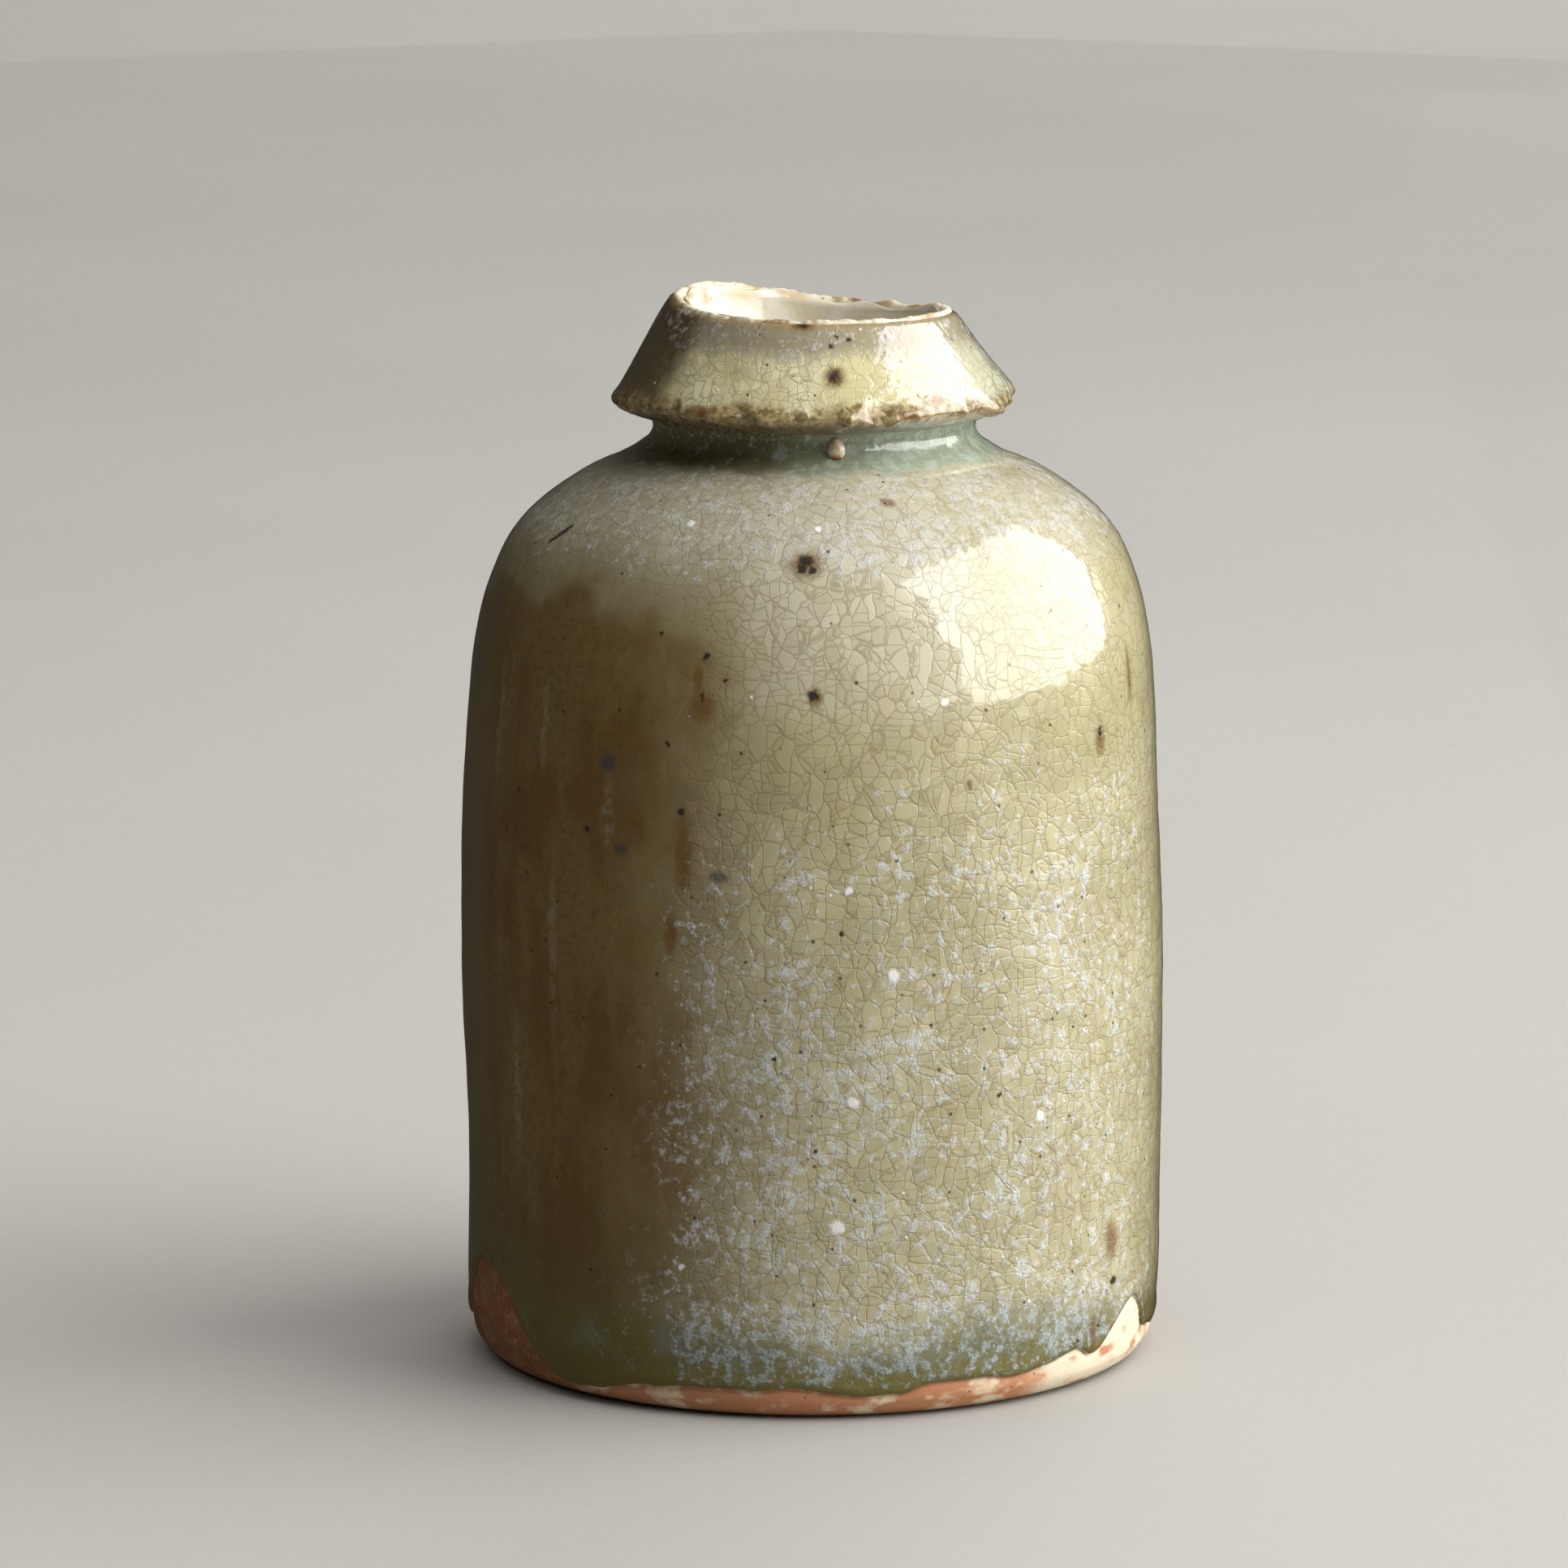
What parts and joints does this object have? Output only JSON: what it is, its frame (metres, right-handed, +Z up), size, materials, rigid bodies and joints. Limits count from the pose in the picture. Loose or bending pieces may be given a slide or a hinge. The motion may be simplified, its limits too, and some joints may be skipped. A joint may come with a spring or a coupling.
{
  "type": "sake bottle",
  "caption": "Small wood-fired stoneware sake bottle with a near-cylindrical body, round shoulder, short grooved neck and a flared conical mouth collar, under crackled ash glaze.",
  "frame": {"origin": "middle of the flat resting face, on the surface that the bottle stands on", "axes": "+Z up the bottle's axis, -Y towards the bottle's front as pictured, +X to the viewer's right"},
  "size_m": [0.07, 0.07, 0.1061],
  "materials": {
    "stoneware": "rough bare clay",
    "collar_stoneware": "rough bare clay",
    "ash_glaze": "satin crackled ash glaze",
    "pooled_glaze": "glassy pooled glaze",
    "collar_glaze": "satin crackled ash glaze",
    "white_glaze": "glossy cream-white glaze",
    "liner_glaze": "glossy liner glaze",
    "ash_bead": "glossy ash bead"
  },
  "bodies": {
    "root": {"clay_body": "stoneware", "collar_ring": "collar_stoneware", "body_glaze": "ash_glaze", "neck_glaze": "pooled_glaze", "collar_glaze": "collar_glaze", "mouth_glaze": "white_glaze", "inner_glaze": "liner_glaze", "neck_bead": "ash_bead"}
  },
  "joints": []
}
